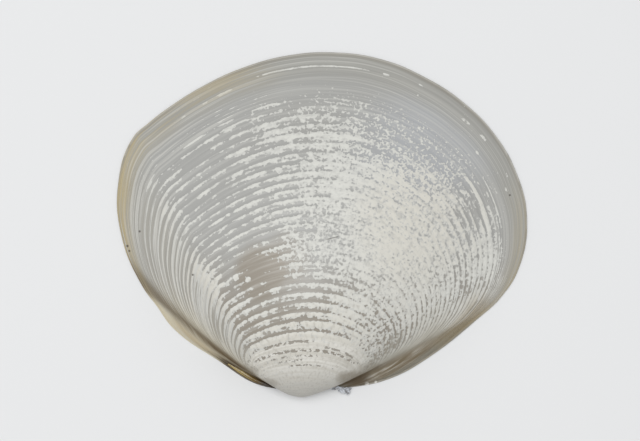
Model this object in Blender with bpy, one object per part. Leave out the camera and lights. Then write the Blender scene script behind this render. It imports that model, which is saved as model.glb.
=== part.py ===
"""One valve of a venus clam, the left one, with the ligament that hinged it to its twin.

The valve lies on its edge with the swollen side up. It is built the way the animal lays it down: the
edge is one flat loop, and every earlier edge is the same loop, smaller and turned further round the
hinge axis at the beak. The frame has +X to the front of the animal, +Y from the hinge to the belly
edge and +Z up; lengths below are in millimetres from the beak, and MM turns them into metres.
"""

import math

import bmesh
import bpy
from mathutils import Vector

MM = 0.001

# The valve's edge, from behind the beak round the belly edge and back to it.
EDGE = (
    (-3.9, 0.5), (-8.4, 3.1), (-13.0, 6.4), (-14.7, 8.7), (-16.1, 10.6), (-18.3, 15.9),
    (-18.6, 21.4), (-17.1, 25.9), (-15.5, 27.4), (-13.7, 28.8), (-9.9, 31.2), (-5.7, 33.1),
    (-1.2, 34.3), (3.6, 34.6), (8.3, 33.9), (12.7, 32.1), (16.7, 29.5), (20.0, 26.1),
    (22.2, 22.1), (23.2, 17.8), (22.4, 12.6), (20.5, 9.5), (18.1, 7.3), (13.3, 3.5),
    (9.1, 1.2), (4.6, 0.3), (0.5, 0.3),
)
COLUMNS = 72  # points round the edge

# Coiling: radians of turn each time the size falls by a factor of e, and fewer near the beak.
COIL = 0.77
BEAK_COIL = 0.5
BEAK_STARTS = 1.6
OUTER_RINGS = 30
OUTER_LAST = 3.5
RING_CROWDING = 1.5  # above 1 the rings crowd towards the edge

# The two grooves that run from the beak and fence off the lunule and the escutcheon.
GROOVES = ((math.radians(21.4), 0.35), (math.radians(145.5), 0.30))
GROOVE_HALF_ANGLE = math.radians(3.5)

# The inside: a plain rim that widens into the hinge plate, and a smaller coil about its own axis.
RIM = 1.2
HINGE_PLATE = 3.0
HINGE_REACH = 11.0
INNER_AXIS_Y = 3.2
INNER_RINGS = 14
INNER_LAST = 1.6

# Sockets between the hinge teeth: degrees from +X, reach, depth.
SOCKET_ROOT = (0.5, 0.6)
SOCKETS = ((34.0, 3.1, 0.9), (74.0, 3.0, 1.1), (118.0, 3.2, 1.1), (154.0, 3.4, 0.9))
SOCKET_START = 0.9
SOCKET_NARROW, SOCKET_WIDE = 0.45, 0.85

# The ligament, a horny cord half sunk in the edge behind the beak.
LIGAMENT_LINE = ((-1.9, -0.05), (-3.2, 0.15), (-4.6, 0.8), (-6.0, 1.55), (-7.2, 2.25))
LIGAMENT_HEIGHT = 0.5
LIGAMENT_RADII = (0.22, 0.36, 0.4, 0.36, 0.22)
LIGAMENT_SIDES = 12
SEAT_GAP = 0.3


def clear_scene():
    for obj in list(bpy.data.objects):
        bpy.data.objects.remove(obj)


def material(name, colour, roughness):
    made = bpy.data.materials.new(name)
    made.use_nodes = True
    shader = made.node_tree.nodes["Principled BSDF"]
    shader.inputs["Base Color"].default_value = (*colour, 1.0)
    shader.inputs["Roughness"].default_value = roughness
    return made


def object_from(bm, name, finish=None):
    mesh = bpy.data.meshes.new(name)
    bm.to_mesh(mesh)
    bm.free()
    obj = bpy.data.objects.new(name, mesh)
    bpy.context.scene.collection.objects.link(obj)
    if finish:
        mesh.materials.append(finish)
    return obj


def spline_point(before, start, end, after, t):
    """A point of the smooth curve from start to end, by the Catmull-Rom rule."""
    return 0.5 * (
        2 * start
        + (end - before) * t
        + (2 * before - 5 * start + 4 * end - after) * t**2
        + (3 * start - before - 3 * end + after) * t**3
    )


def edge_loop():
    """COLUMNS points, evenly spaced along the smooth closed curve through EDGE."""
    fine = []
    corners = [Vector(p) for p in EDGE]
    count = len(corners)
    for i in range(count):
        near = [corners[(i + step) % count] for step in (-1, 0, 1, 2)]
        fine += [spline_point(*near, t / 20) for t in range(20)]
    lengths = [0.0]
    for a, b in zip(fine, fine[1:] + fine[:1]):
        lengths.append(lengths[-1] + (b - a).length)
    loop = []
    piece = 0
    for column in range(COLUMNS):
        wanted = lengths[-1] * column / COLUMNS
        while lengths[piece + 1] < wanted:
            piece += 1
        share = (wanted - lengths[piece]) / (lengths[piece + 1] - lengths[piece])
        loop.append(fine[piece].lerp(fine[(piece + 1) % len(fine)], share))
    return loop


def inner_loop(edge):
    """The edge moved inwards by the rim, and by the hinge plate near the beak."""
    loop = []
    for i, point in enumerate(edge):
        along = edge[(i + 1) % COLUMNS] - edge[i - 1]
        inwards = Vector((along.y, -along.x)).normalized()
        width = RIM + HINGE_PLATE * math.exp(-((point.length / HINGE_REACH) ** 2))
        loop.append(point + inwards * width)
    return loop


def turn(shrink):
    """The angle round the hinge axis of the loop that is exp(-shrink) of full size."""
    return COIL * min(shrink, BEAK_STARTS) + BEAK_COIL * max(0.0, shrink - BEAK_STARTS)


def swept(point, shrink, axis_y=0.0):
    """Where a point of the edge was when the valve was exp(-shrink) of its size."""
    size = math.exp(-shrink)
    reach = size * (point.y - axis_y)
    angle = turn(shrink)
    return Vector((size * point.x, axis_y + reach * math.cos(angle), reach * math.sin(angle)))


def groove_depth(point):
    """How deep a full-size groove is at this point of the edge."""
    bearing = math.atan2(point.y, point.x)
    return sum(
        depth * math.exp(-(((bearing - middle) / GROOVE_HALF_ANGLE) ** 2))
        for middle, depth in GROOVES
    )


def outer_ring(edge, shrink):
    """One growth line of the outside, pressed in where a groove crosses it."""
    ring = []
    for i, point in enumerate(edge):
        here = swept(point, shrink)
        along = swept(edge[(i + 1) % COLUMNS], shrink) - swept(edge[i - 1], shrink)
        growing = here - swept(point, shrink + 0.01)
        inwards = growing.cross(along).normalized()
        depth = groove_depth(point) * math.exp(-shrink) * min(1.0, shrink / 0.05)
        ring.append(here + inwards * depth)
    return ring


def add_ring(bm, points):
    return [bm.verts.new(p.to_3d() * MM) for p in points]


def bridge(bm, first, second):
    """A band of four-sided faces from one ring to the next."""
    for i in range(len(first)):
        following = (i + 1) % len(first)
        bm.faces.new((first[i], first[following], second[following], second[i]))


def build_valve(finish):
    edge = edge_loop()
    inside = inner_loop(edge)
    bm = bmesh.new()

    outer = []
    for step in range(OUTER_RINGS + 1):
        shrink = OUTER_LAST * (step / OUTER_RINGS) ** RING_CROWDING
        outer.append(add_ring(bm, outer_ring(edge, shrink)))
    for first, second in zip(outer, outer[1:]):
        bridge(bm, first, second)
    bm.faces.new(outer[-1])

    inner = []
    for step in range(INNER_RINGS + 1):
        shrink = INNER_LAST * (step / INNER_RINGS) ** RING_CROWDING
        inner.append(add_ring(bm, [swept(p, shrink, INNER_AXIS_Y) for p in inside]))
    for first, second in zip(inner, inner[1:]):
        bridge(bm, second, first)
    bm.faces.new(reversed(inner[-1]))

    bridge(bm, inner[0], outer[0])  # the flat rim that the valve lies on
    bmesh.ops.recalc_face_normals(bm, faces=bm.faces)
    return object_from(bm, "left_valve", finish)


def build_cord(name, widen, finish=None):
    """The ligament's round cord, or with widen the larger one that cuts its seat."""
    path = [Vector((x, y, LIGAMENT_HEIGHT)) for x, y in LIGAMENT_LINE]
    bm = bmesh.new()
    rings = []
    for i, centre in enumerate(path):
        along = (path[min(i + 1, len(path) - 1)] - path[max(i - 1, 0)]).normalized()
        across = along.cross(Vector((0, 0, 1))).normalized()
        radius = LIGAMENT_RADII[i] + widen
        centre = centre + along * widen * ((i == len(path) - 1) - (i == 0))
        ring = []
        for side in range(LIGAMENT_SIDES):
            angle = math.tau * side / LIGAMENT_SIDES
            spoke = across * math.cos(angle) + Vector((0, 0, 1)) * math.sin(angle)
            ring.append(bm.verts.new((centre + spoke * radius) * MM))
        rings.append(ring)
    for first, second in zip(rings, rings[1:]):
        bridge(bm, first, second)
    bm.faces.new(rings[0])
    bm.faces.new(reversed(rings[-1]))
    bmesh.ops.recalc_face_normals(bm, faces=bm.faces)
    return object_from(bm, name, finish)


def build_socket_cutter(number, degrees, reach, depth):
    """A wedge, narrow at the beak, that cuts one socket up into the hinge plate."""
    heading = Vector((math.cos(math.radians(degrees)), math.sin(math.radians(degrees))))
    side = Vector((-heading.y, heading.x))
    root = Vector(SOCKET_ROOT)
    corners = []
    for distance, width in ((SOCKET_START, SOCKET_NARROW), (SOCKET_START + reach, SOCKET_WIDE)):
        for way in (-1, 1):
            corners.append(root + heading * distance + side * way * width / 2)
    corners = [corners[0], corners[2], corners[3], corners[1]]
    bm = bmesh.new()
    bottom = [bm.verts.new(Vector((*c, -1.0)) * MM) for c in corners]
    top = [bm.verts.new(Vector((*c, depth)) * MM) for c in corners]
    bm.faces.new(reversed(bottom))
    bm.faces.new(top)
    for i in range(4):
        following = (i + 1) % 4
        bm.faces.new((bottom[i], bottom[following], top[following], top[i]))
    bmesh.ops.recalc_face_normals(bm, faces=bm.faces)
    return object_from(bm, f"socket_cutter_{number}")


def cut(obj, cutter):
    cutter.hide_render = True
    cutter.display_type = "WIRE"
    modifier = obj.modifiers.new(cutter.name, "BOOLEAN")
    modifier.operation = "DIFFERENCE"
    modifier.solver = "EXACT"
    modifier.object = cutter


def main():
    clear_scene()
    shell = material("shell", (0.80, 0.78, 0.73), 0.55)
    horn = material("ligament", (0.22, 0.12, 0.04), 0.35)

    valve = build_valve(shell)
    ligament = build_cord("ligament", 0.0, horn)
    cutters = [build_cord("ligament_seat_cutter", SEAT_GAP)]
    cutters += [build_socket_cutter(n, *socket) for n, socket in enumerate(SOCKETS)]
    for cutter in cutters:
        cut(valve, cutter)

    # The frame's origin is under the middle of the valve's box, on the plane of its edge.
    xs = [v.co.x for v in valve.data.vertices]
    ys = [v.co.y for v in valve.data.vertices]
    centre = Vector(((min(xs) + max(xs)) / 2, (min(ys) + max(ys)) / 2, 0.0))
    for obj in (valve, ligament, *cutters):
        obj.location = -centre
    valve.data.shade_smooth()
    valve.data.set_sharp_from_angle(angle=math.radians(40))
    ligament.data.shade_smooth()


main()
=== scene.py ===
import math
import random

import bpy
import numpy as np
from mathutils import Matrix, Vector


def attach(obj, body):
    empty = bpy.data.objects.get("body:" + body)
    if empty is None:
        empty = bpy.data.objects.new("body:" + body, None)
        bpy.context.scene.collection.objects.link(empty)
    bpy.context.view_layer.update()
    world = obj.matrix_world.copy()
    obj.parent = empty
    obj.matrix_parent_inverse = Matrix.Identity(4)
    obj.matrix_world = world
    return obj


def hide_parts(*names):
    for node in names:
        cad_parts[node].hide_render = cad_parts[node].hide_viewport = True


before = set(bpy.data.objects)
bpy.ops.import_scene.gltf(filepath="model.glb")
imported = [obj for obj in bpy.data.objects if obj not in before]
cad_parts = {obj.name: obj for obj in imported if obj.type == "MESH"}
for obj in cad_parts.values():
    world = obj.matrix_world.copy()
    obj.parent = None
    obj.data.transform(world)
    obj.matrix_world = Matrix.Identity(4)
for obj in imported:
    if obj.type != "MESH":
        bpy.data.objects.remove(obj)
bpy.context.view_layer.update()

mm = 0.001
seed = 11
rng = random.Random(seed)
leastWeight = 0.002      # a vertex with less than this isn't moved


def deselectAll():
    if bpy.context.object and bpy.context.object.mode != "OBJECT":
        bpy.ops.object.mode_set(mode="OBJECT")
    bpy.ops.object.select_all(action="DESELECT")


def makeActive(piece):
    deselectAll()
    piece.select_set(True)
    bpy.context.view_layer.objects.active = piece


def editMode(piece, selectMode="VERT"):
    makeActive(piece)
    bpy.ops.object.mode_set(mode="EDIT")
    bpy.ops.mesh.select_mode(type=selectMode)


def objectMode():
    bpy.ops.object.mode_set(mode="OBJECT")


def newPiece(name):
    piece = bpy.context.object
    piece.name = name
    piece.data.name = name
    return piece


def placeInMesh(piece):
    makeActive(piece)
    bpy.ops.object.transform_apply(location=True, rotation=True, scale=True)


def applyModifier(piece, kind, **settings):
    makeActive(piece)
    modifier = piece.modifiers.new(kind.lower(), kind)
    for name, value in settings.items():
        setattr(modifier, name, value)
    bpy.ops.object.modifier_apply(modifier=modifier.name)


def coordinates(piece):
    flat = np.zeros(len(piece.data.vertices) * 3, np.float32)
    piece.data.vertices.foreach_get("co", flat)
    return flat.reshape(-1, 3).astype(float)


def readValues(piece, name):
    values = np.zeros(len(piece.data.vertices), np.float32)
    piece.data.attributes[name].data.foreach_get("value", values)
    return values.astype(float)


def writeValues(piece, name, values):
    layer = piece.data.attributes.get(name) or piece.data.attributes.new(name, "FLOAT", "POINT")
    layer.data.foreach_set("value", np.asarray(values, np.float32))
    return layer


def push(piece, name, weights, distance):
    # moves each vertex along its normal by its weight, 0 to 1, of the distance
    group = piece.vertex_groups.new(name=name)
    for index in np.nonzero(weights > leastWeight)[0]:
        group.add([int(index)], float(weights[index]), "REPLACE")
    applyModifier(piece, "DISPLACE", strength=distance, mid_level=0.0,
                  direction="NORMAL", vertex_group=name)
    piece.vertex_groups.remove(piece.vertex_groups[name])


def joinInto(piece, others):
    deselectAll()
    for other in others:
        other.select_set(True)
    piece.select_set(True)
    bpy.context.view_layer.objects.active = piece
    bpy.ops.object.join()


def smoothStep(values, low, high):
    t = np.clip((values - low) / (high - low), 0, 1)
    return t * t * (3 - 2 * t)


def screenColour(red, green, blue):
    # a colour as a screen shows it, 0 to 255, as the shader's linear numbers
    shares = [c / 255 for c in (red, green, blue)]
    return [c / 12.92 if c <= 0.04045 else ((c + 0.055) / 1.055) ** 2.4 for c in shares]


class Wire:
    # one output of a node; arithmetic on it adds Math nodes
    def __init__(self, recipe, socket):
        self.recipe = recipe
        self.socket = socket

    def maths(self, operation, first, second):
        return self.recipe.node("ShaderNodeMath", {"operation": operation}, {0: first, 1: second})

    def __add__(self, other):
        return self.maths("ADD", self, other)

    def __radd__(self, other):
        return self.maths("ADD", other, self)

    def __sub__(self, other):
        return self.maths("SUBTRACT", self, other)

    def __rsub__(self, other):
        return self.maths("SUBTRACT", other, self)

    def __mul__(self, other):
        return self.maths("MULTIPLY", self, other)

    def __rmul__(self, other):
        return self.maths("MULTIPLY", other, self)

    def __truediv__(self, other):
        return self.maths("DIVIDE", self, other)

    def above(self, other):
        return self.maths("MAXIMUM", self, other)

    def below(self, other):
        return self.maths("MINIMUM", self, other)

    def size(self):
        return self.maths("ABSOLUTE", self, 0)

    def part(self):
        return self.maths("FRACT", self, 0)


class Recipe:
    # a material, and the few ways its nodes are made
    def __init__(self, name):
        self.material = bpy.data.materials.new(name)
        self.material.use_nodes = True
        self.tree = self.material.node_tree
        self.tree.nodes.clear()

    def node(self, kind, settings, values, output=0):
        made = self.tree.nodes.new(kind)
        for name, value in settings.items():
            setattr(made, name, value)
        for name, value in values.items():
            if isinstance(value, Wire):
                self.tree.links.new(value.socket, made.inputs[name])
            else:
                made.inputs[name].default_value = value
        return Wire(self, made.outputs[output])

    def blend(self, share, first, second):
        ends = [c if isinstance(c, Wire) else (*c, 1) for c in (first, second)]
        return self.node("ShaderNodeMix", {"data_type": "RGBA"}, {0: share, 6: ends[0], 7: ends[1]}, 2)

    def step(self, value, low, high):
        return self.node("ShaderNodeMapRange", {"interpolation_type": "SMOOTHSTEP"},
                         {"Value": value, "From Min": low, "From Max": high})

    def vector(self, x, y, z=0.0):
        return self.node("ShaderNodeCombineXYZ", {}, {0: x, 1: y, 2: z})

    def split(self, vector):
        return [self.node("ShaderNodeSeparateXYZ", {}, {0: vector}, i) for i in range(3)]

    def noise(self, vector, scale=1.0, detail=2.0, roughness=0.5, distortion=0.0):
        return self.node("ShaderNodeTexNoise", {}, {
            "Vector": vector, "Scale": scale, "Detail": detail,
            "Roughness": roughness, "Distortion": distortion})

    def place(self):
        # where the point lies on the part, in mm
        spot = self.node("ShaderNodeTexCoord", {}, {}, "Object")
        return self.node("ShaderNodeVectorMath", {"operation": "SCALE"}, {0: spot, "Scale": 1 / mm})

    def distance(self, first, second):
        return self.node("ShaderNodeVectorMath", {"operation": "DISTANCE"}, {0: first, 1: second}, "Value")

    def value(self, name):
        return self.node("ShaderNodeAttribute", {"attribute_name": name}, {}, "Fac")

    def bump(self, height, distance):
        return self.node("ShaderNodeBump", {}, {"Height": height, "Distance": distance})

    def shade(self, values):
        shader = self.node("ShaderNodeBsdfPrincipled", {}, values)
        out = self.tree.nodes.new("ShaderNodeOutputMaterial")
        self.tree.links.new(shader.socket, out.inputs["Surface"])
        return self.material


valve = {
    # the edge, mm from the beak: x to the front, y to the belly margin; most of these points weren't
    # set by hand but measured by a program outside this script
    "outline": [
        (0.5, 0.3), (-3.9, 0.5), (-8.4, 3.1), (-13.0, 6.4), (-14.7, 8.7), (-16.1, 10.6),
        (-18.3, 15.9), (-18.6, 21.4), (-17.1, 25.9), (-15.5, 27.4), (-13.7, 28.8), (-9.9, 31.2),
        (-5.7, 33.1), (-1.2, 34.3), (3.6, 34.6), (8.3, 33.9), (12.7, 32.1), (16.7, 29.5),
        (20.0, 26.1), (22.2, 22.1), (23.2, 17.8), (22.4, 12.6), (20.5, 9.5), (18.1, 7.3),
        (13.3, 3.5), (9.1, 1.2), (4.6, 0.3),
    ],
    "beak": (-2.23, -17.0),    # where the beak lies from the middle of the valve's box, mm
    "pointsPerStretch": 11,
    "coil": 0.77,              # radians turned each time the size falls by a factor of e
    "beakCoil": 0.5,
    "beakStarts": 1.6,
    "beakBlend": 0.22,
    "beakEnds": 3.6,
    "beakRings": 18,
    "beakRidges": 16,
    "bandRidges": 12,          # fine ridges in the smooth band by the edge
    "bandEnds": 0.139,
    "bandSlack": 0.005,
    "bandPhases": (0, 0.4, 0.7),                          # where a ridge's rings lie, as shares of it
    "ridgePhases": (0, 0.12, 0.24, 0.40, 0.58, 0.78),
    "ridgeStep": 0.0235,       # coarse ridges, as a share of the full size
    "ridgeJitter": 0.16,
    "ridgeHeight": 0.04 * mm,
    "endRidges": 1.9,          # how much taller they are at the two ends
    "lipRound": 0.11 * mm,
    "rim": 1.2,
    "hingePlate": 3.0,
    "hingeReach": 11.0,
    "innerAxisY": 3.2,
    "innerRings": 60,
    "innerEnds": 1.6,
    "innerCrowding": 1.2,      # above 1 the rings crowd towards the edge
    "rimCuts": 5,
    "smoothAngle": math.radians(50),
    # edge points where the grooves of the lunule and the escutcheon come out, depth, half width, and
    # how many mm round the edge each drifts as the size falls to nothing
    "grooves": [((17.6, 6.9), 0.12, 0.065, 0), ((-16.5, 11.2), 0.22, 0.045, -13)],
}


def drawLoop(name, points):
    # a smooth closed line through the points, as a loop of edges
    deselectAll()
    bpy.ops.mesh.primitive_circle_add(vertices=len(points), radius=20 * mm)
    loop = bpy.context.object
    for vertex, (x, y) in zip(loop.data.vertices, points):
        vertex.co = Vector((x, y, 0)) * mm
    bpy.ops.object.convert(target="CURVE")
    bpy.ops.object.mode_set(mode="EDIT")
    bpy.ops.curve.select_all(action="SELECT")
    bpy.ops.curve.spline_type_set(type="BEZIER")
    bpy.ops.curve.handle_type_set(type="AUTOMATIC")
    bpy.ops.object.mode_set(mode="OBJECT")
    loop = bpy.context.object
    loop.data.resolution_u = valve["pointsPerStretch"]
    loop.data.splines[0].resolution_u = valve["pointsPerStretch"]
    bpy.ops.object.convert(target="MESH")
    loop = newPiece(name)
    line = coordinates(loop)[:, :2] / mm
    after = np.roll(line, -1, axis=0)
    steps = np.linalg.norm(after - line, axis=1)
    along = np.cumsum(steps) - steps
    if np.sum(line[:, 0] * after[:, 1] - line[:, 1] * after[:, 0]) > 0:
        along = steps.sum() - along
    writeValues(loop, "along", along)
    return loop


def turnAt(shrink):
    # the coil eases off towards the beak, which keeps the tip from curling under
    blend = valve["beakBlend"]
    eased = blend * math.log1p(math.exp((shrink - valve["beakStarts"]) / blend))
    return valve["coil"] * shrink - (valve["coil"] - valve["beakCoil"]) * eased


def outerPlan():
    # (shrink, ridge number) for every ring from the edge to the beak
    plan = []
    ridge = 0
    shrink = 0.0
    while shrink < valve["beakStarts"]:
        inBand = shrink < valve["bandEnds"] - valve["bandSlack"]
        step = valve["bandEnds"] / valve["bandRidges"] if inBand else valve["ridgeStep"] * math.exp(shrink)
        step *= 1 + rng.uniform(-1, 1) * valve["ridgeJitter"]
        for phase in valve["bandPhases"] if inBand else valve["ridgePhases"]:
            plan.append((shrink + phase * step, ridge + phase))
        shrink += step
        ridge += 1
    left = valve["beakEnds"] - shrink
    for i in range(valve["beakRings"] + 1):
        share = i / valve["beakRings"]
        plan.append((shrink + share * left, ridge + share * valve["beakRidges"]))
    return plan


def innerPlan():
    ends, rings = valve["innerEnds"], valve["innerRings"]
    return [(ends * (i / rings) ** valve["innerCrowding"], float(i)) for i in range(rings + 1)]


def growFrom(loop, plan, axisY):
    # every ring is the one before it, smaller and turned further about the hinge axis
    ridge = writeValues(loop, "ridge", np.zeros(len(loop.data.vertices)))
    loop.data.attributes.active = ridge
    centre = Vector((0, axisY, 0)) * mm
    editMode(loop)
    bpy.ops.mesh.select_all(action="SELECT")
    lastShrink = 0.0
    for shrink, number in plan[1:]:
        bpy.ops.mesh.extrude_edges_move(TRANSFORM_OT_translate={"value": (0, 0, 0)})
        bpy.ops.transform.resize(value=(math.exp(lastShrink - shrink),) * 3, center_override=centre)
        bpy.ops.transform.rotate(value=turnAt(lastShrink) - turnAt(shrink), orient_axis="X",
                                 center_override=centre)
        bpy.ops.mesh.attribute_set(value_float=number)
        lastShrink = shrink
    bpy.ops.mesh.edge_face_add()
    bpy.ops.mesh.poke()
    objectMode()
    table = np.array(plan)
    shrinks = np.interp(readValues(loop, "ridge"), table[:, 1], table[:, 0])
    writeValues(loop, "growth", np.exp(-shrinks))


def insetPoints(points):
    # the edge moved in by the rim, and further by the hinge plate near the beak
    inset = []
    for i, (x, y) in enumerate(points):
        before, after = points[i - 1], points[(i + 1) % len(points)]
        along = Vector((after[0] - before[0], after[1] - before[1])).normalized()
        bulge = math.exp(-((math.hypot(x, y) / valve["hingeReach"]) ** 2))
        width = valve["rim"] + valve["hingePlate"] * bulge
        inset.append((x + along.y * width, y - along.x * width))
    return inset


def alongNear(edge, point):
    # how far round the edge, in mm, the edge passes closest to this point
    line = coordinates(edge)[:, :2] / mm
    return float(readValues(edge, "along")[np.argmin(np.linalg.norm(line - point, axis=1))])


def moveTo(piece, spots):
    piece.data.vertices.foreach_set("co", (spots * mm).astype(np.float32).ravel())
    piece.data.update()


def raiseInside(shell, height):
    spots = coordinates(shell) / mm
    spots[:, 2] += readValues(shell, "inside") * height
    moveTo(shell, spots)


def closeTheEdge(shell):
    # the rim and the hinge plate, from the outer edge to the inner one, which is held up meanwhile
    # so that the two loops are not in one plane
    raiseInside(shell, 1.0)
    editMode(shell, "EDGE")
    bpy.ops.mesh.select_all(action="DESELECT")
    bpy.ops.mesh.select_non_manifold()
    bpy.ops.mesh.bridge_edge_loops(type="SINGLE", number_cuts=valve["rimCuts"], interpolation="LINEAR")
    bpy.ops.mesh.select_all(action="SELECT")
    bpy.ops.mesh.normals_make_consistent(inside=False)
    objectMode()
    raiseInside(shell, -1.0)
    top = max(shell.data.polygons, key=lambda face: face.center.z)
    if top.normal.z < 0:
        editMode(shell, "FACE")
        bpy.ops.mesh.select_all(action="SELECT")
        bpy.ops.mesh.flip_normals()
        objectMode()


def roundTheLip(shell):
    # lifts the outermost loop a little off the plane of the rim
    spots = coordinates(shell) / mm
    lip = (readValues(shell, "ridge") < 0.01) & (readValues(shell, "inside") < 0.01)
    reach = np.linalg.norm(spots, axis=1)
    lift = np.where(lip, smoothStep(reach, 2, 7), 0) * valve["lipRound"]
    chips = np.sin(reach * 3.1 + spots[:, 0]) * np.sin(spots[:, 1] * 2.3) * np.sin(spots[:, 0] * 1.7)
    lift *= 1 + 0.5 * np.clip(chips, -1, 1)
    spots[:, 2] += lift / mm
    moveTo(shell, spots)


def reliefOf(shell, grooveSpots):
    # the weights of the ridges and the grooves on the outside
    along, ridge, growth = (readValues(shell, name) for name in ("along", "ridge", "growth"))
    outside = readValues(shell, "inside") < 0.01
    phase = ridge - np.floor(ridge)
    profile = smoothStep(phase, 0.0, 0.24) * (1 - smoothStep(phase, 0.24, 1.0))
    number = np.floor(ridge)
    sway = np.sin(along * 0.31 + number * 2.4) * np.sin(along * 0.117 + number * 1.3)
    ends = np.abs(along - along.max() * 0.52) / (along.max() * 0.5)
    tall = 1 + (valve["endRidges"] - 1) * smoothStep(ends, 0.35, 0.7)
    inBand = growth > math.exp(-valve["bandEnds"])
    share = profile * np.where(inBand, 0.3, 1) * (1 + 0.35 * sway) * tall / valve["endRidges"]
    heights = coordinates(shell)[:, 2] / mm
    ridges = share * smoothStep(growth, 0.1, 0.4) * smoothStep(heights, 0.02, 0.5) * outside
    grooves = np.zeros(len(along))
    for middle, depth, halfWidth, drift in grooveSpots:
        off = (along - middle - drift * (1 - growth)) / (along.max() * halfWidth / 2)
        grooves += depth * np.exp(-off * off) * smoothStep(growth, 1.0, 0.95) * growth * outside
    return ridges, grooves


def mapGrowth(shell):
    # a map whose x runs round the edge in mm and whose y counts ridges, unbroken where the edge closes
    mesh = shell.data
    along, ridge = readValues(shell, "along"), readValues(shell, "ridge")
    corners = np.zeros(len(mesh.loops), np.int32)
    mesh.loops.foreach_get("vertex_index", corners)
    starts = np.zeros(len(mesh.polygons), np.int32)
    mesh.polygons.foreach_get("loop_start", starts)
    x = along[corners]
    most = np.maximum.reduceat(x, starts)
    wraps = most - np.minimum.reduceat(x, starts) > along.max() / 2
    sides = np.diff(np.append(starts, len(corners)))
    x += np.where(np.repeat(wraps, sides) & (x < along.max() / 2), along.max(), 0)
    table = mesh.uv_layers.new(name="growthMap")
    table.data.foreach_set("uv", np.column_stack([x, ridge[corners]]).astype(np.float32).ravel())


inside = {
    "scars": [((14.3, 0.6), (2.2, 3.3), -0.25), ((-14.2, 2.4), (2.8, 3.2), 0.35)],   # middle, radii, turn
    "scarDepth": 0.13 * mm,
    "pallialGrowth": 0.80,
    "pallialHalfWidth": 0.013,
    "sinus": ((-9.6, 2.2), (5.2, 2.7), 0.5),
    "pallialDepth": 0.09 * mm,
}


def ovalReach(spots, middle, radii, turn):
    # 1 on the oval's outline, less inside it
    dx, dy = spots[:, 0] - middle[0], spots[:, 1] - middle[1]
    across = dx * math.cos(turn) + dy * math.sin(turn)
    up = dy * math.cos(turn) - dx * math.sin(turn)
    return np.hypot(across / radii[0], up / radii[1])


def insideMarks(shell):
    # the muscle scars and the line where the mantle was attached, as weights
    spots = coordinates(shell) / mm
    growth = readValues(shell, "growth")
    within = (readValues(shell, "inside") > 0.99) & (growth < 0.99)
    scars = np.zeros(len(growth))
    for middle, radii, turn in inside["scars"]:
        reach = ovalReach(spots, middle, radii, turn)
        scars = np.maximum(scars, 1 - smoothStep(reach, 0.9, 1.08))
    sinus = ovalReach(spots, *inside["sinus"])
    line = np.exp(-((growth - inside["pallialGrowth"]) / inside["pallialHalfWidth"]) ** 2)
    line *= smoothStep(spots[:, 1], -3, 1) * smoothStep(sinus, 0.95, 1.15)
    bay = np.exp(-((sinus - 1) / 0.06) ** 2) * smoothStep(growth, 0.83, 0.78)
    lines = np.maximum(line, bay) * (1 - scars)
    return scars * within, lines * within


sockets = {
    "root": (0.5, 0.6),
    "wedges": [(34, 3.1, 0.9), (74, 3.0, 1.1), (118, 3.2, 1.1), (154, 3.4, 0.9)],   # bearing, reach, depth
    "start": 0.9,
    "narrow": 0.45,
    "wide": 0.85,
    "bevel": 0.12 * mm,
    "slack": 0.05,
}


def cutSockets(shell):
    # four wedges that fan out from the beak leave the three teeth standing between them
    cutters = []
    for bearing, reach, depth in sockets["wedges"]:
        deselectAll()
        bpy.ops.mesh.primitive_cube_add(size=1)
        cutter = newPiece("socketCutter")
        editMode(cutter)
        bpy.ops.mesh.select_all(action="DESELECT")
        objectMode()
        for vertex in cutter.data.vertices:
            vertex.select = vertex.co.x > 0
        editMode(cutter)
        bpy.ops.transform.resize(value=(1, sockets["wide"] / sockets["narrow"], 1))
        objectMode()
        turn = math.radians(bearing)
        middle = sockets["start"] + reach / 2
        cutter.scale = (reach * mm, sockets["narrow"] * mm, 2 * depth * mm)
        cutter.rotation_euler = (0, 0, turn)
        cutter.location = (
            (sockets["root"][0] + middle * math.cos(turn)) * mm,
            (sockets["root"][1] + middle * math.sin(turn)) * mm, 0)
        placeInMesh(cutter)
        applyModifier(cutter, "BEVEL", width=sockets["bevel"], segments=2, limit_method="NONE")
        cutters.append(cutter)
    joinInto(cutters[0], cutters[1:])
    applyModifier(shell, "BOOLEAN", object=cutters[0], operation="DIFFERENCE", solver="EXACT")
    bpy.data.objects.remove(cutters[0])


def inSockets(spots):
    # which of these places, mm from the beak, are on a socket's walls
    found = np.zeros(len(spots), bool)
    slack = sockets["slack"]
    dx, dy = spots[:, 0] - sockets["root"][0], spots[:, 1] - sockets["root"][1]
    for bearing, reach, depth in sockets["wedges"]:
        turn = math.radians(bearing)
        outwards = dx * math.cos(turn) + dy * math.sin(turn) - sockets["start"]
        across = dy * math.cos(turn) - dx * math.sin(turn)
        lengthwise = np.abs(outwards - reach / 2) < reach / 2 + slack
        sideways = np.abs(across) < sockets["wide"] / 2 + slack
        found |= lengthwise & sideways & (spots[:, 2] < depth + slack)
    return found


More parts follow.
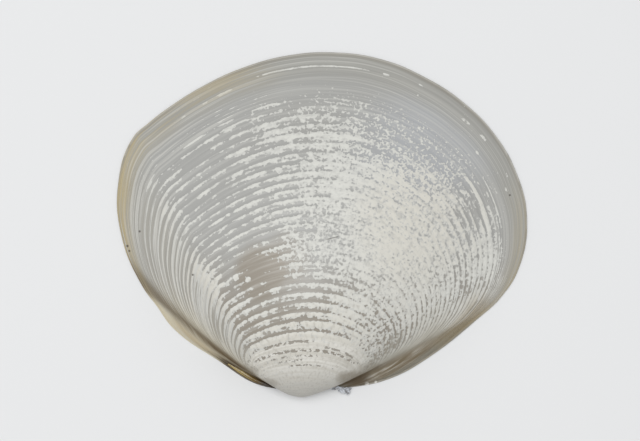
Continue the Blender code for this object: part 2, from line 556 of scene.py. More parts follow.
def buildValve():
    outer = drawLoop("leftValveShell", valve["outline"])
    grooveSpots = [(alongNear(outer, point), *rest) for point, *rest in valve["grooves"]]
    growFrom(outer, outerPlan(), 0.0)
    writeValues(outer, "inside", np.zeros(len(outer.data.vertices)))
    inner = drawLoop("inside", insetPoints(valve["outline"]))
    growFrom(inner, innerPlan(), valve["innerAxisY"])
    writeValues(inner, "inside", np.ones(len(inner.data.vertices)))
    joinInto(outer, [inner])
    closeTheEdge(outer)
    print("valve: closed mesh of", len(outer.data.polygons), "faces")
    roundTheLip(outer)
    ridges, grooves = reliefOf(outer, grooveSpots)
    push(outer, "grooves", grooves, -1.0 * mm)
    push(outer, "ridges", ridges, valve["ridgeHeight"] * valve["endRidges"])
    mapGrowth(outer)
    cutSockets(outer)
    lined = (readValues(outer, "inside") > 0.1) | inSockets(coordinates(outer) / mm)
    slots = [int(all(lined[i] for i in face.vertices)) for face in outer.data.polygons]
    outer.location = Vector((*valve["beak"], 0)) * mm
    placeInMesh(outer)
    scars, lines = insideMarks(outer)
    writeValues(outer, "scar", scars)
    writeValues(outer, "pallial", lines)
    push(outer, "scars", scars, -inside["scarDepth"])
    push(outer, "lines", lines, -inside["pallialDepth"])
    outer.data.materials.append(None)
    outer.data.materials.append(None)
    outer.data.polygons.foreach_set("material_index", np.array(slots, np.int32))
    makeActive(outer)
    bpy.ops.object.shade_smooth_by_angle(angle=valve["smoothAngle"])
    print("valve: relief, sockets and scars done,", len(outer.data.polygons), "faces")
    return outer, grooveSpots


crust = {
    "bare": screenColour(166, 166, 163),
    "bareWarm": screenColour(150, 143, 132),
    "bareBlue": screenColour(173, 175, 177),
    "band": screenColour(158, 157, 151),
    "lip": screenColour(140, 135, 124),
    "umbo": screenColour(223, 221, 214),
    "umboDark": screenColour(205, 202, 193),
    # painted shade for the umbo's chalk at the beak tip
    "umboTipShade": screenColour(187, 185, 178),
    "flange": screenColour(184, 171, 143),
    "flangeEdge": screenColour(217, 210, 188),
    "flank": screenColour(194, 183, 154),
    "chalk": screenColour(215, 215, 209),
    "thin": screenColour(203, 203, 198),
    "cream": screenColour(214, 211, 201),
    "endLight": screenColour(207, 204, 195),
    "endDark": screenColour(165, 162, 153),
    "tan": screenColour(184, 169, 130),
    "ochre": screenColour(146, 126, 86),
    # brown for the lunule and the escutcheon, and for painted shade under the beak
    "brown": screenColour(116, 103, 80),
    # painted shade for the flank beside the lunule
    "lunuleFlankShade": screenColour(158, 152, 136),
    "margin": screenColour(150, 150, 141),
    "fine": screenColour(203, 202, 196),
    # painted shade for the groove lines and the low places under the beak
    "dark": screenColour(76, 61, 40),
    "umber": screenColour(96, 77, 46),
    "dot": screenColour(70, 64, 58),
    "dots": [
        (19.2, 3.0, 0.11), (-18.6, -0.7, 0.12), (-13.1, -5.1, 0.11),
        (-19.9, -2.2, 0.14), (-19.7, -2.7, 0.12),
    ],
    "chips": [(4.6, -16.3, 0.22), (5.5, -16.1, 0.14)],
    "scratch": ((1.05, -1.35), 0.25, 1.7, 0.06),
    # what each painted value starts from
    "starts": {
        "cover": 0.27, "lines": 0.12, "warmth": 0, "coolness": 0, "creaminess": 0, "tans": 0,
        "beakShadow": 0, "softness": 0, "ochres": 0, "beakShade": 0,
    },
    # the soft patches added to each: middle x and y, the two radii, all in mm, and the amount
    "cover": [
        (7, -1, 15, 13, 0.40), (12.5, 8, 7, 6, -0.12), (1.5, 4, 6, 5, 0.08), (8, -4, 6, 4, 0.12),
        (0, -12.5, 9, 4.5, 0.45), (11, -9, 6, 4, 0.25), (-9, -9.5, 5, 4, 0.20), (-5, 3, 5, 5, 0.12),
        (-1, 8.5, 6, 4, 0.18), (-12.2, -6.7, 2.6, 3.4, 0.80), (-6.4, -4.6, 2.9, 2.3, -0.45),
        (15.0, 2.0, 3.0, 4.0, -0.20), (17, -4, 2.5, 4, 0.3), (9, 9, 7, 5, -0.08),
        (-2.4, -3.6, 2.8, 2.4, 0.15), (9, 0, 8, 7, 0.14), (-16.5, 8.5, 5, 4, -0.22), (3, 6, 9, 5, 0.08),
        (-0.8, -5, 2.5, 2.5, -0.15), (1.5, -7.7, 3, 2.5, 0.1), (6.3, -7.7, 3, 2.5, 0.1),
        (6.3, 9.8, 2.6, 1.6, 0.12), (-8.4, 4.6, 2, 1.5, 0.15), (-2, 4.6, 3.5, 1.6, 0.08),
        (-2.5, -7.7, 3, 1.8, 0.12), (-4.7, -12.4, 3, 1.5, 0.12), (-10.8, -10.2, 2, 2, 0.15),
        (-13.3, -4, 1.5, 4, 0.12), (-14, 8.5, 5, 2.5, -0.12), (3.9, -9.8, 1.8, 2, -0.15),
        (-6, 9.2, 2.5, 1.6, 0.25), (1.5, 11.6, 5, 2.2, 0.08), (-15.8, -1, 3, 5, 0.2),
        (0, 10.5, 9, 3, 0.08), (3, -8.5, 3, 2.5, 0.25), (-4.5, 8.3, 3, 2.5, 0.2),
        (16.6, -8.7, 3.0, 2.6, 0.35),
    ],
    "lines": [
        (-12, 4, 13, 15, 0.55), (-4, -9, 11, 6, 0.65), (11, -10, 6, 4.5, 0.45), (16, -2, 5, 9, 0.30),
        (0, 7, 8, 5, 0.15),
    ],
    "warmth": [(-6.4, -4.7, 3.0, 3.4, 1.4), (-3.4, -3.2, 2.8, 3.4, 0.8)],
    "softness": [(8, -1, 10, 9, 1.0)],
    "ochres": [(14.6, -10.2, 5.6, 4.0, 1.0)],
    # the next two lists place painted shade under the beak
    "beakShade": [(3.0, -15.7, 2.0, 1.1, 1.1), (5.0, -14.7, 1.8, 0.9, 0.7), (-7.7, -15.0, 1.7, 0.9, 0.7),
             (-5.6, -16.1, 1.6, 0.7, 0.6)],
    "beakShadow": [(3.0, -15.7, 2.6, 1.2, 1.0), (-6.0, -16.2, 2.2, 1.0, 0.9), (-8.6, -14.2, 2.4, 0.8, 0.5)],
    "coolness": [(10, 8, 10, 7, 1.0)],
    "creaminess": [(10, 0.5, 9, 8, 0.8), (6, -8, 8, 6, 0.3), (-2, -13, 9, 6, 0.8), (-14, -8, 6, 7, 0.8)],
    "tans": [
        (-20, -1, 6, 12, 1.0), (-11, 14, 9, 4, 0.45), (-17, 9, 4.5, 3.5, 0.5), (20, -4, 4, 10, 0.35),
        (15.0, -11.4, 8, 4.2, 0.8), (-12, -10.5, 8, 5, 0.5),
    ],
    # chalk marks on single growth lines: growth, from and to round the edge in mm, half width, strength;
    # most of their growth and edge places weren't set by hand either but worked out by such a program
    "arcs": [
        (0.959, 50.3, 64.6, 0.0024, 1.2), (0.961, 64.9, 65.9, 0.0032, 1.0),
        (0.949, 46.4, 48.9, 0.0045, 1.0), (0.948, 44.8, 45.7, 0.0022, 0.9),
        (0.9465, 42.0, 43.1, 0.0038, 1.0), (0.9475, 40.9, 41.9, 0.0032, 1.0),
        (0.960, 74.5, 76.1, 0.0042, 1.1), (0.9635, 77.2, 78.5, 0.0045, 1.1),
        (0.919, 77.9, 78.7, 0.0035, 0.9), (0.9735, 68.9, 69.6, 0.0024, 0.8),
        (0.9425, 68.9, 69.6, 0.0024, 0.8), (0.943, 83.3, 84.2, 0.0035, 0.9),
        (0.965, 82.2, 82.9, 0.0024, 0.8), (0.843, 77.6, 85.5, 0.0048, 1.2),
        (0.835, 82.0, 88.5, 0.0034, 0.9), (0.888, 79.5, 88.0, 0.0018, 0.8),
        (0.768, 54.5, 66.5, 0.0030, 0.9), (0.849, 45.3, 50.6, 0.0030, 0.9),
        (0.868, 50.0, 53.8, 0.0028, 0.9), (0.865, 40.8, 44.3, 0.0032, 0.9),
        (0.71, 62.0, 77.0, 0.0045, 0.4), (0.4775, 40.6, 42.2, 0.0075, 1.1),
        (0.461, 43.0, 44.8, 0.0085, 1.1), (0.822, 53.0, 59.0, 0.0028, 0.6),
    ],
    # rows of dark dashes across the umbo, in the same terms
    "gaps": [
        (0.272, 40, 62, 0.0040, 1.5), (0.250, 34, 84, 0.0045, 1.6), (0.236, 40, 66, 0.0036, 1.4),
        (0.222, 44, 60, 0.0034, 1.4), (0.262, 64, 88, 0.0036, 1.4), (0.208, 50, 70, 0.0026, 1.1),
    ],
}


def paintPatches(piece, name, patches, start=0.0):
    # a value on the piece: the start, and each soft-edged oval's share added to it
    spots = coordinates(piece) / mm
    total = np.full(len(spots), float(start))
    for x, y, radiusX, radiusY, amount in patches:
        reach = ((spots[:, 0] - x) / radiusX) ** 2 + ((spots[:, 1] - y) / radiusY) ** 2
        total += amount * smoothStep(reach, 1, 0)
    writeValues(piece, name, total)


def onLine(recipe, along, growth, grown, start, end, halfWidth):
    # 1 on one growth line between two places round the edge
    near = recipe.step((growth - grown).size(), halfWidth * 1.6, halfWidth * 0.4)
    reach = (end - start) / 2
    return near * recipe.step((along - (start + end) / 2).size(), reach, reach - min(2.5, reach * 0.6))


def crestOf(number, middle, steepness):
    # 1 on a growth line, falling away on both sides of it
    return (1.0 - (number.part() - middle).size() * steepness).above(0.0)


def specked(recipe, colour, x, y):
    # the colour with its dark specks, pale chips and one thin scratch
    flat = recipe.vector(x, y)
    marks = [(*dot, "dot") for dot in crust["dots"]] + [(*chip, "umbo") for chip in crust["chips"]]
    for markX, markY, radius, paint in marks:
        reach = recipe.distance(flat, (markX, markY, 0))
        colour = recipe.blend(recipe.step(reach, radius * 1.3, radius * 0.5) * 0.8, colour, crust[paint])
    (scratchX, scratchY), turn, length, halfWidth = crust["scratch"]
    lengthwise = (x - scratchX) * math.cos(turn) + (y - scratchY) * math.sin(turn)
    across = (y - scratchY) * math.cos(turn) - (x - scratchX) * math.sin(turn)
    scratch = recipe.step(lengthwise.size(), length / 2, length / 4)
    scratch = scratch * recipe.step(across.size(), halfWidth * 1.5, halfWidth * 0.4)
    return recipe.blend(scratch * 0.6, colour, crust["dot"])


def crustMaterial(grooveSpots):
    recipe = Recipe("wornCrust")
    spot = recipe.place()
    x, y, z = recipe.split(spot)
    along, ridge = recipe.split(recipe.node("ShaderNodeUVMap", {"uv_map": "growthMap"}, {}))[:2]
    growth = recipe.value("growth")
    double = ridge * 2
    crest = crestOf(ridge, 0.35, 2.8)
    crest2 = crestOf(double, 0.4, 2.4)

    # the two ends, where the growth lines crowd: smooth, striped, no flecks
    frontEnd = recipe.step(along, 90.0, 97.0)
    ends = recipe.step(along, 38.0, 31.5).above(frontEnd)
    ends = ends * recipe.step(growth, 0.26, 0.34)

    # where chalk covers the bare shell
    cover = recipe.value("cover")
    cover = cover - recipe.step(growth, 0.85, 0.94) * 0.42 + recipe.step(growth, 0.31, 0.26) * 0.55
    cover = cover + recipe.step(growth, 0.22, 0.14) * 0.35
    cover = cover + ends * 0.30
    lines = (recipe.value("lines") + ends * 0.3).below(0.95)
    dash = recipe.noise(recipe.vector(along * 0.42, (ridge - ridge.part()) * 3.7), 1.0, 1.0, 0.5)
    dash2 = recipe.noise(recipe.vector(along * 0.6, (double - double.part()) * 2.9, 2.0), 1.0, 1.0, 0.5)
    dashes = recipe.step(dash, 0.38, 0.62) - 0.5
    dashes2 = recipe.step(dash2, 0.38, 0.62) - 0.5
    lump = recipe.noise(spot, 3.2, 1.0, 0.5, 0.3)
    speck = recipe.noise(spot, 4.6, 0.5, 0.5)
    fleck = recipe.noise(recipe.vector(along * 1.5, ridge * 1.5, 4.0), 1.0, 1.5, 0.5)
    lumpy = (1.0 - lines * 0.7) * (1.0 - ends * 0.8)
    graze = recipe.noise(recipe.vector(along * 0.7, ridge * 3.3, 17.0), 1.0, 1.0, 0.5)
    cloud = recipe.noise(spot, 0.5, 2.0, 0.5)
    level = (cover + lines * (crest - 0.40 + dashes * crest)
             + (lines * 0.6 + 0.1) * ((crest2 - 0.35) * 0.7 + dashes2 * crest2 * 0.8)
             + ((lump - 0.5) * 1.7 + (fleck - 0.5) * 1.1 + (graze - 0.5) * 0.8) * lumpy
             + (cloud - 0.5) * 0.55
             + (speck - 0.5) * (recipe.value("coolness") * 1.8 + 0.3))
    broken = recipe.noise(recipe.vector(along * 0.55, growth * 90, 19.0), 1.0, 2.0, 0.6)
    broken = recipe.step(broken, 0.42, 0.60)
    for *line, strength in crust["gaps"]:
        level = level - onLine(recipe, along, growth, *line) * broken * strength
    for *line, strength in crust["arcs"]:
        level = level + onLine(recipe, along, growth, *line) * strength
    # at the ends the dashes run together into thin unbroken lines
    drawn = recipe.noise(recipe.vector(along * 0.06, growth * 100, 7.0), 1.0, 1.0, 0.5)
    ended = 0.19 + crest * 0.42 + (drawn - 0.5) * 1.1 + recipe.step(growth, 0.85, 0.55) * 0.22
    ended = ended + frontEnd * recipe.step(growth, 0.95, 0.80) * 0.28
    level = level + (ended - level) * ends
    soft = recipe.value("softness") * 0.22
    chalk = recipe.step(level, 0.46 - soft, 0.55 + soft)

    # the bare shell: cool above, warm below, with faint growth lines
    streak = recipe.noise(recipe.vector(along * 0.06, ridge * 2.3, 3.0), 1.0, 2.0, 0.6)
    haze = recipe.noise(spot, 0.16, 2.0, 0.5)
    stained = recipe.value("warmth") * (0.5 + streak * 0.5)
    warm = (recipe.step(y, -1.0, -10.0) * 0.9 + stained + (haze - 0.5) * 0.5).below(1.0)
    cool = recipe.blend(recipe.value("coolness"), crust["bare"], crust["bareBlue"])
    bare = recipe.blend(warm.above(0.0), cool, crust["bareWarm"])
    bare = recipe.blend(recipe.step(growth, 0.90, 0.96) * 0.8, bare, crust["band"])
    bare = recipe.blend(recipe.step(growth, 0.982, 0.998) * 0.8, bare, crust["lip"])
    faint = recipe.step(streak, 0.42, 0.62) * (crest * 0.3 + crest2 * 0.2)
    bare = recipe.blend(faint.below(1.0), bare, crust["chalk"])
    fine = recipe.noise(recipe.vector(along * 0.05, growth * 105, 13.0), 1.0, 1.0, 0.5)
    fine = recipe.step(fine, 0.50, 0.62) * (0.10 + lines * 0.75)
    fine = fine * recipe.step(growth, 0.80, 0.90).above(ends)
    bare = recipe.blend(ends * 0.7, bare, crust["endDark"])
    bare = recipe.blend(fine * recipe.step(growth, 1.0, 0.985), bare, crust["fine"])

    # chalk: thin where it has just taken hold, worn in streaks, creamier in places
    mottle = recipe.noise(recipe.vector(along * 0.8, ridge * 1.6, 8.0), 1.0, 3.0, 0.6)
    full = recipe.blend(recipe.value("creaminess"), crust["chalk"], crust["cream"])
    bands = recipe.noise(recipe.vector(along * 0.03, ridge * 2.2, 11.0), 1.0, 2.0, 0.6)
    aged = recipe.blend(recipe.step(bands, 0.36, 0.64), crust["umboDark"], crust["umbo"])
    full = recipe.blend(recipe.step(growth, 0.32, 0.26), full, aged)
    # painted shade: the umbo's chalk darkened towards the beak tip, where its surface curves away from the
    # light
    tipShade = recipe.step(growth, 0.24, 0.10) * (0.5 + recipe.step(bands, 0.40, 0.60) * 0.5)
    full = recipe.blend(tipShade, full, crust["umboTipShade"])
    full = recipe.blend(ends, full, crust["endLight"])
    solid = recipe.blend(recipe.step(level, 0.52, 0.95), crust["thin"], full)
    worn = recipe.step(mottle, 0.46, 0.72) * 0.4
    colour = recipe.blend(chalk * (1 - worn), bare, solid)

    # tan stain by the edge, drawn out along the growth lines
    stain = recipe.value("tans") * recipe.step(growth, 0.90, 0.985)
    stain = stain * recipe.step(recipe.noise(recipe.vector(along * 0.14, ridge * 1.4, 9.0), 1.0, 3.0, 0.6),
                                0.32, 0.62)
    colour = recipe.blend(stain.below(0.85), colour, crust["tan"])

    # brown in the lunule, over all of it near the beak, and painted shade on the flank beside it
    fromLunule, fromEscutcheon = [
        (along - middle - (1 - growth) * drift) * growth for middle, _, _, drift in grooveSpots]
    older = recipe.step(growth, 0.14, 0.3)
    dirt = recipe.noise(recipe.vector(along * 0.10, ridge * 1.3, 5.0), 1.0, 3.0, 0.65)
    streak2 = recipe.noise(recipe.vector(along * 0.16, growth * 9, 21.0), 1.0, 3.0, 0.6)
    inLunule = recipe.step(fromLunule, 8.0, 3.5).above(recipe.step(x, 12.5, 8.0) * 0.9) * older
    # painted shade: the flank beside the lunule darkened towards it, where its surface turns away from the
    # light
    shaded = recipe.step(fromLunule + (streak2 - 0.5) * 6, -7.0, -0.5) * older * recipe.step(x, 18.0, 12.0)
    colour = recipe.blend(shaded * 0.6, colour, crust["lunuleFlankShade"])
    rubbed = recipe.step(fromLunule + (streak2 - 0.5) * 5, -3.0, 1.8)
    inLunule = inLunule * rubbed * recipe.step(fromLunule, -4.0, -0.5) * recipe.step(x, -1.7, 0.5)
    brown = 0.35 + recipe.step(streak2, 0.6, 0.4) * 0.35 + recipe.step(growth, 0.45, 0.75) * 0.3
    colour = recipe.blend(inLunule * brown, colour, crust["brown"])
    pale = recipe.step(streak2, 0.50, 0.62) * recipe.step(fromLunule, 0.0, 1.5)
    pale = pale * recipe.step(growth, 0.85, 0.6)
    colour = recipe.blend(inLunule * pale * 0.55, colour, crust["endLight"])
    colour = recipe.blend(inLunule * recipe.step(growth, 0.80, 0.95) * 0.55, colour, crust["margin"])

    # behind the beak: the flank, the flange beyond its groove, and the dirt along both; painted shade in
    # the groove lines
    flank = recipe.step(fromEscutcheon, 8.0, 0.5) * recipe.step(x, -19.0, -12.0)
    flank = flank * recipe.step(growth, 0.98, 0.85)
    colour = recipe.blend(flank * older * 0.55, colour, crust["flank"])
    flange = recipe.step(fromEscutcheon, -0.6, -3.0) * older * recipe.step(x, -1.8, -4.0)
    colour = recipe.blend(flange * (0.45 + recipe.step(streak2, 0.6, 0.4) * 0.4), colour, crust["flange"])
    inEscutcheon = recipe.step(fromEscutcheon, -2.8, -0.4) * recipe.step(fromEscutcheon, 4.2, 0.4)
    inEscutcheon = inEscutcheon.above(flange * recipe.step(x, -12.5, -9.5)) * older
    colour = recipe.blend(inEscutcheon * (0.4 + recipe.step(dirt, 0.3, 0.6) * 0.45), colour, crust["brown"])
    # painted shade: both groove lines darkened, as shade gathers in a crease
    grooveShade = recipe.step(fromEscutcheon, -0.9, -0.1) * recipe.step(fromEscutcheon, 1.2, 0.1)
    grooveShade = grooveShade.above(flange * recipe.step(x, -11.5, -9.0) * 1.4) * recipe.step(x, -19.0, -12.0)
    lunuleLine = recipe.step(fromLunule, -0.7, 0.3) * recipe.step(fromLunule, 3.2, 0.6)
    grooveShade = grooveShade.above(lunuleLine * recipe.step(x, 8.5, 4.0) * 1.3)
    grooveShade = grooveShade * (0.4 + recipe.step((x + 1.5).size(), 10.5, 8.5) * 0.6)
    colour = recipe.blend(grooveShade * older * 0.6, colour, crust["dark"])
    flangeEdge = flange * recipe.step(growth, 0.88, 0.95) * recipe.step(x, -9.5, -11.5)
    colour = recipe.blend(flangeEdge * 0.6, colour, crust["flangeEdge"])
    aboveCord = recipe.step(x, -13.0, -9.0) * recipe.step(x, -3.0, -5.5)
    aboveCord = aboveCord * recipe.step(fromEscutcheon, -1.0, 0.0)
    aboveCord = aboveCord * recipe.step(fromEscutcheon + (dirt - 0.5) * 3, 3.8, 0.5)
    colour = recipe.blend(aboveCord * 0.7, colour, crust["umber"])
    ochre = recipe.value("ochres") * (0.25 + recipe.step(drawn, 0.42, 0.60) * 0.75)
    ochre = ochre * recipe.step(growth, 0.70, 0.92) * recipe.step(growth, 1.0, 0.965)
    colour = recipe.blend(ochre * 0.7, colour, crust["ochre"])
    colour = specked(recipe, colour, x, y)

    # painted shade under the beak: brown darkening on both sides of it, darkest in the low places
    beakShade = (recipe.value("beakShade") + (streak2 - 0.5) * 0.8).below(1.0)
    beakShade = beakShade * recipe.step(recipe.value("beakShade"), 0.0, 0.3)
    colour = recipe.blend(beakShade.above(0.0) * 0.6, colour, crust["brown"])
    low = recipe.step(z, 2.6, 1.2)
    colour = recipe.blend(recipe.value("beakShadow").below(1.0) * low * 0.85, colour, crust["dark"])

    grain = recipe.noise(spot, 9.0, 3.0, 0.7)
    height = chalk * 0.7 + grain * 0.35 + streak * 0.2
    return recipe.shade({
        "Base Color": colour,
        "Roughness": 0.42 + chalk * 0.3,
        "Coat Weight": (1 - chalk) * 0.12,
        "Coat Roughness": 0.2,
        "Specular IOR Level": 0.35,
        "Normal": recipe.bump(height, 0.03 * mm),
    })


porcelain = {
    "white": screenColour(233, 230, 222),
    "cream": screenColour(232, 218, 192),
    "cavity": screenColour(214, 192, 152),
    "scar": screenColour(221, 217, 210),
    "rim": screenColour(205, 203, 196),
}


def porcelainMaterial():
    recipe = Recipe("porcelainInside")
    spot = recipe.place()
    y = recipe.split(spot)[1]
    growth, scar, pallial = (recipe.value(name) for name in ("growth", "scar", "pallial"))
    cloud = recipe.noise(spot, 0.2, 3.0, 0.55)
    colour = recipe.blend(recipe.step(cloud, 0.3, 0.75) * 0.55, porcelain["white"], porcelain["cream"])
    colour = recipe.blend(recipe.step(y, -4.0, -13.0) * 0.7, colour, porcelain["cavity"])
    outward = recipe.step(growth, 0.80, 0.97)
    growthLine = recipe.noise(recipe.vector(growth * 60, cloud), 1.0, 2.0, 0.6)
    colour = recipe.blend(outward * recipe.step(growthLine, 0.35, 0.65) * 0.6, colour, porcelain["rim"])
    colour = recipe.blend((scar * 0.8).above(pallial * 0.8), colour, porcelain["scar"])
    fine = recipe.noise(spot, 5.0, 3.0, 0.6)
    return recipe.shade({
        "Base Color": colour,
        "Roughness": 0.34 - scar * 0.12 + outward * 0.15,
        "Coat Weight": 0.3,
        "Coat Roughness": 0.12,
        "Normal": recipe.bump(fine + growthLine * 0.5, 0.012 * mm),
    })


shell, grooveSpots = buildValve()
for name, start in crust["starts"].items():
    paintPatches(shell, name, crust[name], start)
shell.data.materials[0] = crustMaterial(grooveSpots)
shell.data.materials[1] = porcelainMaterial()
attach(shell, "root")
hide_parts("left_valve")


ligament = {
    # the cord's line in mm, from behind the beak outwards, then its radius
    "line": [
        (-4.3, -16.75, 0.08), (-5.4, -16.50, 0.14), (-6.7, -15.95, 0.21), (-8.1, -15.15, 0.22),
        (-9.6, -14.22, 0.10),
    ],
    "height": 0.45,
    "stations": 44,
    "sides": 28,
    "strands": 9,
    "strandHeight": 0.05 * mm,
    # amber, partly a painted highlight, which the cord shows only at its outer end
    "amberAndHighlight": screenColour(196, 174, 96),
    "brown": screenColour(100, 77, 34),
    "dark": screenColour(50, 38, 22),
}


def splineThrough(points, share):
    # a point of the smooth line through the points, share running from 0 to 1
    last = len(points) - 1
    first = min(int(share * last), last - 1)
    t = share * last - first
    a, b, c, d = [np.array(points[min(max(first + step, 0), last)]) for step in (-1, 0, 1, 2)]
    return 0.5 * (2 * b + (c - a) * t + (2 * a - 5 * b + 4 * c - d) * t ** 2
                  + (3 * b - a - 3 * c + d) * t ** 3)


def buildLigament():
    # a ring pushed on along the line, widened, narrowed and turned at every station
    stations = [splineThrough(ligament["line"], i / (ligament["stations"] - 1))
                for i in range(ligament["stations"])]
    headings = [math.atan2(*(stations[min(i + 1, len(stations) - 1)] - stations[max(i - 1, 0)])[1::-1])
                for i in range(len(stations))]
    x, y, radius = stations[0]
    deselectAll()
    bpy.ops.mesh.primitive_circle_add(vertices=ligament["sides"], radius=radius * mm,
                                      rotation=(0, math.pi / 2, 0))
    cord = newPiece("horny_ligament")
    placeInMesh(cord)
    angles = np.arctan2(*coordinates(cord)[:, 1:].T)
    writeValues(cord, "around", angles)
    run = writeValues(cord, "run", np.zeros(len(angles)))
    cord.data.attributes.active = run
    editMode(cord)
    bpy.ops.mesh.select_all(action="SELECT")
    centre = Vector((x, y, ligament["height"])) * mm
    bpy.ops.transform.translate(value=centre)
    bpy.ops.transform.rotate(value=-headings[0], orient_axis="Z", center_override=centre)
    for i in range(1, len(stations)):
        bpy.ops.mesh.extrude_edges_move(TRANSFORM_OT_translate={"value": (0, 0, 0)})
        shift = Vector((*(stations[i] - stations[i - 1])[:2], 0)) * mm
        centre += shift
        bpy.ops.transform.translate(value=shift)
        bpy.ops.transform.resize(value=(stations[i][2] / stations[i - 1][2],) * 3, center_override=centre)
        bpy.ops.transform.rotate(value=headings[i - 1] - headings[i], orient_axis="Z",
                                 center_override=centre)
        bpy.ops.mesh.attribute_set(value_float=float(i))
    bpy.ops.mesh.select_all(action="DESELECT")
    bpy.ops.mesh.select_non_manifold()
    bpy.ops.mesh.edge_face_add()
    bpy.ops.mesh.select_all(action="SELECT")
    bpy.ops.mesh.normals_make_consistent(inside=False)
    objectMode()
    around, run = readValues(cord, "around"), readValues(cord, "run") / ligament["stations"]
    strands = 0.5 + 0.5 * np.sin(around * ligament["strands"] + 1.2 * np.sin(run * 7))
    strands *= 0.6 + 0.4 * np.sin(run * 11 + around * 2)
    push(cord, "strands", np.clip(strands, 0, 1) * np.sin(run * math.pi), ligament["strandHeight"])
    makeActive(cord)
    bpy.ops.object.shade_smooth()
    return cord


def ligamentMaterial():
    recipe = Recipe("hornyLigament")
    spot = recipe.place()
    x = recipe.split(spot)[0]
    run = recipe.value("run")
    around = recipe.value("around")
    strand = recipe.noise(recipe.vector(around * 2.2, run * 0.06), 1.0, 3.0, 0.6)
    mottle = recipe.noise(spot, 2.5, 3.0, 0.6)
    amberAndHighlight, brown, dark = ligament["amberAndHighlight"], ligament["brown"], ligament["dark"]
    colour = recipe.blend(recipe.step(strand, 0.35, 0.65), brown, amberAndHighlight)
    colour = recipe.blend(recipe.step(mottle, 0.5, 0.75) * 0.5, colour, brown)
    # the pale amber only at the outer end, partly a painted highlight; towards the beak the cord goes dark,
    # partly painted shade
    colour = recipe.blend(recipe.step(x, -8.2, -7.0) * 0.8, colour, brown)
    colour = recipe.blend(recipe.step(x, -7.2, -5.8), colour, dark)
    return recipe.shade({
        "Base Color": colour,
        "Roughness": 0.32 + mottle * 0.2,
        "Coat Weight": 0.3,
        "Coat Roughness": 0.12,
        "Normal": recipe.bump(strand + mottle * 0.5, 0.02 * mm),
    })


cord = buildLigament()
cord.data.materials.append(ligamentMaterial())
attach(cord, "root")
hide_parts("ligament")
print("ligament done,", len(cord.data.polygons), "faces")


shred = {
    "size": (2.3, 0.85),         # mm
    "middle": (1.85, -16.80, 0.55),
    "turn": (0.5, 0.12, -0.15),
    "thick": 0.05 * mm,
    "curl": 0.35,
    "cells": (72, 36),
    "pale": screenColour(206, 210, 216),
    "grey": screenColour(128, 128, 130),
}


def buildShred():
    # a grid with a ragged outline, crumpled, then given a thickness
    deselectAll()
    columns, rows = shred["cells"]
    bpy.ops.mesh.primitive_grid_add(x_subdivisions=columns, y_subdivisions=rows, size=2)
    scrap = newPiece("torn_ligament_skin")
    spots = coordinates(scrap)
    u, v = spots[:, 0].copy(), spots[:, 1].copy()
    ragged = 0.80 + 0.10 * np.sin(u * 9 + 1) + 0.07 * np.sin(u * 23 + v * 3) + 0.05 * np.sin(v * 31)
    taper = 1 - 0.55 * smoothStep(-u, 0.1, 1.0)
    pastSide = np.abs(v + 0.12 * np.sin(u * 4)) > ragged * taper
    pastEnd = np.abs(u) > 0.97 - 0.08 * np.sin(v * 17)
    editMode(scrap)
    bpy.ops.mesh.select_all(action="DESELECT")
    objectMode()
    for vertex, gone in zip(scrap.data.vertices, pastSide | pastEnd):
        vertex.select = bool(gone)
    editMode(scrap)
    bpy.ops.mesh.delete(type="VERT")
    objectMode()
    spots = coordinates(scrap)
    u, v = spots[:, 0].copy(), spots[:, 1].copy()
    width, height = shred["size"]
    fold = 0.10 * np.sin(u * 5 + v * 2) + 0.06 * np.sin(v * 6 - u * 3 + 1) + 0.02 * np.sin(u * 13 + v * 9)
    spots = np.column_stack([u * width / 2, v * height / 2, fold + shred["curl"] * (v * v - 0.3)])
    moveTo(scrap, spots)
    scrap.rotation_euler = shred["turn"]
    scrap.location = Vector(shred["middle"]) * mm
    placeInMesh(scrap)
    applyModifier(scrap, "SOLIDIFY", thickness=shred["thick"], offset=0)
    makeActive(scrap)
    bpy.ops.object.shade_smooth()
    return scrap


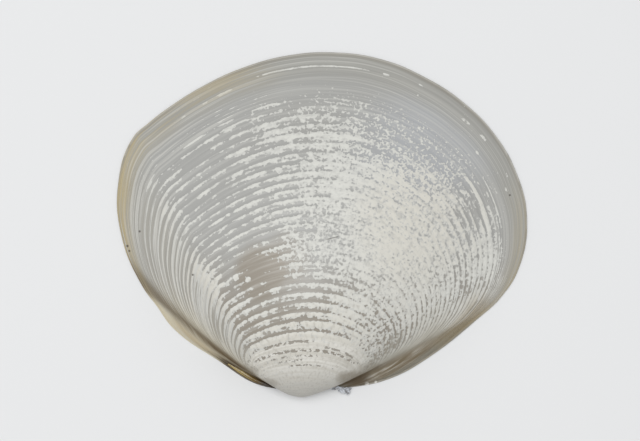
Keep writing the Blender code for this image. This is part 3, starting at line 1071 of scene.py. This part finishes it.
def shredMaterial():
    recipe = Recipe("tornSkin")
    spot = recipe.place()
    fibre = recipe.noise(spot, 3.2, 4.0, 0.65)
    colour = recipe.blend(recipe.step(fibre, 0.36, 0.62), shred["grey"], shred["pale"])
    return recipe.shade({
        "Base Color": colour,
        "Roughness": 0.4 + fibre * 0.2,
        "Coat Weight": 0.2,
        "Coat Roughness": 0.2,
        "Normal": recipe.bump(fibre, 0.03 * mm),
    })


scrap = buildShred()
scrap.data.materials.append(shredMaterial())
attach(scrap, "root")
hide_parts("ligament")
print("torn skin done,", len(scrap.data.polygons), "faces")


studio = {
    "floorSize": 1.2,
    "floorDrop": 0.05 * mm,
    "floorColour": screenColour(226, 227, 228),
    "skyStrength": 0.46,
    "keyPlace": (-0.07, 0.04, 0.53),
    "keySize": 0.3,
    "keyEnergy": 1.85,
}

deselectAll()
bpy.ops.mesh.primitive_plane_add(size=studio["floorSize"], location=(0, 0, -studio["floorDrop"]))
floor = newPiece("floor")
placeInMesh(floor)
floorRecipe = Recipe("paleFloor")
floorLook = {"Base Color": (*studio["floorColour"], 1), "Roughness": 0.7}
floor.data.materials.append(floorRecipe.shade(floorLook))

world = bpy.data.worlds.new("studio")
world.use_nodes = True
world.node_tree.nodes["Background"].inputs["Color"].default_value = (1, 1, 1, 1)
world.node_tree.nodes["Background"].inputs["Strength"].default_value = studio["skyStrength"]
bpy.context.scene.world = world

deselectAll()
bpy.ops.object.light_add(type="AREA", location=studio["keyPlace"])
key = bpy.context.object
key.name = "softKey"
key.data.size = studio["keySize"]
key.data.energy = studio["keyEnergy"]
key.rotation_euler = (Vector((0, 0, 0)) - key.location).to_track_quat("-Z", "Y").to_euler()

camera = {
    "lens": 300,
    "sensorWidth": 36,
    "clipStart": 0.01,
    "fieldWidth": 65.5 * mm,
    "aim": (-0.2 * mm, 0.41 * mm),
}
bpy.ops.object.camera_add()
cam = bpy.context.object
cam.data.lens = camera["lens"]
cam.data.sensor_width = camera["sensorWidth"]
cam.data.clip_start = camera["clipStart"]
cam.location = (*camera["aim"], camera["fieldWidth"] * camera["lens"] / camera["sensorWidth"])
cam.rotation_euler = (0, 0, 0)
bpy.context.scene.camera = cam
bpy.context.scene.view_settings.view_transform = "Standard"
